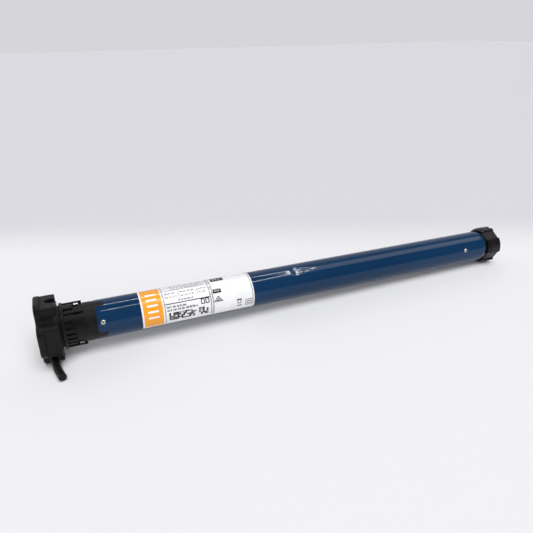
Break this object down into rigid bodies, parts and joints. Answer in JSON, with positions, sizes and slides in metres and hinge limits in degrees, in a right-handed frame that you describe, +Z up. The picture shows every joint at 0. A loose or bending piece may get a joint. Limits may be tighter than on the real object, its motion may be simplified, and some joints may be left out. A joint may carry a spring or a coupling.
{
  "type": "roller shutter motor",
  "caption": "Tubular motor for a roller shutter: round painted tube, four-lobed bracket head, ribbed crown ring, lugged drive wheel and a short supply cable.",
  "frame": {"origin": "centre of the head's outer face, where the motor bolts to its wall bracket, on the motor's axis", "axes": "+X runs along the motor from the head to the drive wheel; +Z is up through the head's slotted lobe as the motor lies; -Y is the front"},
  "size_m": [0.6525, 0.0914, 0.0736],
  "materials": {
    "housing_plastic": "moulded black plastic, fine grain",
    "crown_plastic": "moulded black plastic, semi-matt",
    "button_up": "white push button",
    "button_down": "yellow push button",
    "cable_sheath": "black flexible sheath",
    "rubber": "soft black rubber",
    "tube_paint": "gloss navy-blue enamel on steel",
    "rivet_metal": "bright blind rivets",
    "label": "printed self-adhesive label",
    "zinc_steel": "zinc-plated steel",
    "spring_steel": "spring wire",
    "lamination": "stacked electrical steel",
    "copper": "enamelled copper wire",
    "cast_alloy": "die-cast alloy",
    "steel": "ground steel",
    "bronze": "sintered bronze",
    "gear_steel": "hardened gear steel",
    "gear_plastic": "natural acetal",
    "cap_plastic": "light grey capacitor case",
    "unit_plastic": "grey moulded plastic",
    "switch_plastic": "switch body",
    "wire": "insulated leads",
    "lining": "friction lining"
  },
  "bodies": {
    "motor_body": {"head_housing": "housing_plastic", "head_cover": "housing_plastic", "head_screws": "zinc_steel", "button_contact_plate": "unit_plastic", "cable_gland": "rubber", "supply_cable": "cable_sheath", "cable_plug": "switch_plastic", "microswitches": "switch_plastic", "limit_chassis": "unit_plastic", "collar": "housing_plastic", "motor_tube": "tube_paint", "tube_rivets": "rivet_metal", "rating_label": "label", "capacitor": "cap_plastic", "capacitor_cradle": "unit_plastic", "motor_leads": "wire", "front_shield": "cast_alloy", "rear_shield": "cast_alloy", "stator_core": "lamination", "stator_windings": "copper", "rotor_bushes": "bronze", "brake_housing": "cast_alloy", "brake_pressure_plate": "zinc_steel", "brake_spring": "spring_steel", "button_spring_up": "spring_steel", "button_spring_down": "spring_steel", "ring_gear": "gear_steel", "gearbox_end": "cast_alloy", "output_bush": "bronze"},
    "rotor": {"rotor_core": "lamination", "rotor_shaft": "steel", "brake_disc": "lining"},
    "brake_armature": {"brake_plate": "zinc_steel"},
    "first_carrier": {"carrier_1": "gear_steel", "sun_gear_2": "gear_steel"},
    "second_carrier": {"carrier_2": "gear_steel", "sun_gear_3": "gear_steel"},
    "output": {"carrier_3": "gear_steel", "output_shaft": "steel", "drive_wheel": "crown_plastic", "wheel_screw": "zinc_steel"},
    "crown_ring": {"crown": "crown_plastic"},
    "limit_pinion": {"crown_pinion": "gear_plastic", "pinion_shaft": "steel"},
    "cam_set": {"cam_gear": "gear_plastic", "cam_shaft": "steel", "limit_cams": "gear_plastic"},
    "button_up": {"limit_button_up": "button_up"},
    "button_down": {"limit_button_down": "button_down"},
    "plunger_up": {"switch_plunger_up": "gear_plastic"},
    "plunger_down": {"switch_plunger_down": "gear_plastic"},
    "planet_body_1a": {"planet_1a": "gear_steel"},
    "planet_body_1b": {"planet_1b": "gear_steel"},
    "planet_body_1c": {"planet_1c": "gear_steel"},
    "planet_body_2a": {"planet_2a": "gear_steel"},
    "planet_body_2b": {"planet_2b": "gear_steel"},
    "planet_body_2c": {"planet_2c": "gear_steel"},
    "planet_body_3a": {"planet_3a": "gear_steel"},
    "planet_body_3b": {"planet_3b": "gear_steel"},
    "planet_body_3c": {"planet_3c": "gear_steel"}
  },
  "joints": [
    {"name": "rotor_spin", "type": "hinge", "parent": "motor_body", "child": "rotor", "pos_m": [0.387, 0, 0], "axis": [1, 0, 0], "continuous": true},
    {"name": "first_carrier_spin", "type": "hinge", "parent": "motor_body", "child": "first_carrier", "pos_m": [0.509, 0, 0], "axis": [1, 0, 0], "continuous": true},
    {"name": "second_carrier_spin", "type": "hinge", "parent": "motor_body", "child": "second_carrier", "pos_m": [0.534, 0, 0], "axis": [1, 0, 0], "continuous": true},
    {"name": "drive_spin", "type": "hinge", "parent": "motor_body", "child": "output", "pos_m": [0.64, 0, 0], "axis": [1, 0, 0], "continuous": true},
    {"name": "crown_spin", "type": "hinge", "parent": "motor_body", "child": "crown_ring", "pos_m": [0.038, 0, 0], "axis": [1, 0, 0], "continuous": true},
    {"name": "limit_pinion_spin", "type": "hinge", "parent": "motor_body", "child": "limit_pinion", "pos_m": [0.047, 0, 0.015], "axis": [1, 0, 0], "continuous": true},
    {"name": "cam_spin", "type": "hinge", "parent": "motor_body", "child": "cam_set", "pos_m": [0.09, 0, 0.003], "axis": [1, 0, 0], "continuous": true},
    {"name": "planet_1a_spin", "type": "hinge", "parent": "first_carrier", "child": "planet_body_1a", "pos_m": [0.5025, 0.01125, 0], "axis": [1, 0, 0], "continuous": true},
    {"name": "planet_1b_spin", "type": "hinge", "parent": "first_carrier", "child": "planet_body_1b", "pos_m": [0.5025, -0.00562, 0.00974], "axis": [1, 0, 0], "continuous": true},
    {"name": "planet_1c_spin", "type": "hinge", "parent": "first_carrier", "child": "planet_body_1c", "pos_m": [0.5025, -0.00562, -0.00974], "axis": [1, 0, 0], "continuous": true},
    {"name": "planet_2a_spin", "type": "hinge", "parent": "second_carrier", "child": "planet_body_2a", "pos_m": [0.526, 0.01125, 0], "axis": [1, 0, 0], "continuous": true},
    {"name": "planet_2b_spin", "type": "hinge", "parent": "second_carrier", "child": "planet_body_2b", "pos_m": [0.526, -0.00562, 0.00974], "axis": [1, 0, 0], "continuous": true},
    {"name": "planet_2c_spin", "type": "hinge", "parent": "second_carrier", "child": "planet_body_2c", "pos_m": [0.526, -0.00562, -0.00974], "axis": [1, 0, 0], "continuous": true},
    {"name": "planet_3a_spin", "type": "hinge", "parent": "output", "child": "planet_body_3a", "pos_m": [0.5545, 0.01125, 0], "axis": [1, 0, 0], "continuous": true},
    {"name": "planet_3b_spin", "type": "hinge", "parent": "output", "child": "planet_body_3b", "pos_m": [0.5545, -0.00562, 0.00974], "axis": [1, 0, 0], "continuous": true},
    {"name": "planet_3c_spin", "type": "hinge", "parent": "output", "child": "planet_body_3c", "pos_m": [0.5545, -0.00562, -0.00974], "axis": [1, 0, 0], "continuous": true},
    {"name": "button_up_press", "type": "slide", "parent": "motor_body", "child": "button_up", "axis": [1, 0, 0], "range_m": [0, 0.002], "stiffness_N_per_m": 900, "deforming": ["button_spring_up"]},
    {"name": "plunger_up_press", "type": "slide", "parent": "motor_body", "child": "plunger_up", "axis": [0, 0, -1], "range_m": [0, 0.0008], "stiffness_N_per_m": 600},
    {"name": "button_down_press", "type": "slide", "parent": "motor_body", "child": "button_down", "axis": [1, 0, 0], "range_m": [0, 0.002], "stiffness_N_per_m": 900, "deforming": ["button_spring_down"]},
    {"name": "plunger_down_press", "type": "slide", "parent": "motor_body", "child": "plunger_down", "axis": [0, 0, -1], "range_m": [0, 0.0008], "stiffness_N_per_m": 600},
    {"name": "brake_release", "type": "slide", "parent": "motor_body", "child": "brake_armature", "axis": [-1, 0, 0], "range_m": [0, 0.0004], "stiffness_N_per_m": 8000, "deforming": ["brake_spring"]}
  ],
  "couplings": [
    {"joint": "first_carrier_spin", "follows": "rotor_spin", "ratio": 0.2},
    {"joint": "second_carrier_spin", "follows": "rotor_spin", "ratio": 0.04},
    {"joint": "drive_spin", "follows": "rotor_spin", "ratio": 0.008},
    {"joint": "limit_pinion_spin", "follows": "crown_spin", "ratio": 5},
    {"joint": "cam_spin", "follows": "crown_spin", "ratio": -1.6667},
    {"joint": "planet_1a_spin", "follows": "rotor_spin", "ratio": -0.53333},
    {"joint": "planet_1b_spin", "follows": "rotor_spin", "ratio": -0.53333},
    {"joint": "planet_1c_spin", "follows": "rotor_spin", "ratio": -0.53333},
    {"joint": "planet_2a_spin", "follows": "rotor_spin", "ratio": -0.10667},
    {"joint": "planet_2b_spin", "follows": "rotor_spin", "ratio": -0.10667},
    {"joint": "planet_2c_spin", "follows": "rotor_spin", "ratio": -0.10667},
    {"joint": "planet_3a_spin", "follows": "rotor_spin", "ratio": -0.021333},
    {"joint": "planet_3b_spin", "follows": "rotor_spin", "ratio": -0.021333},
    {"joint": "planet_3c_spin", "follows": "rotor_spin", "ratio": -0.021333}
  ]
}
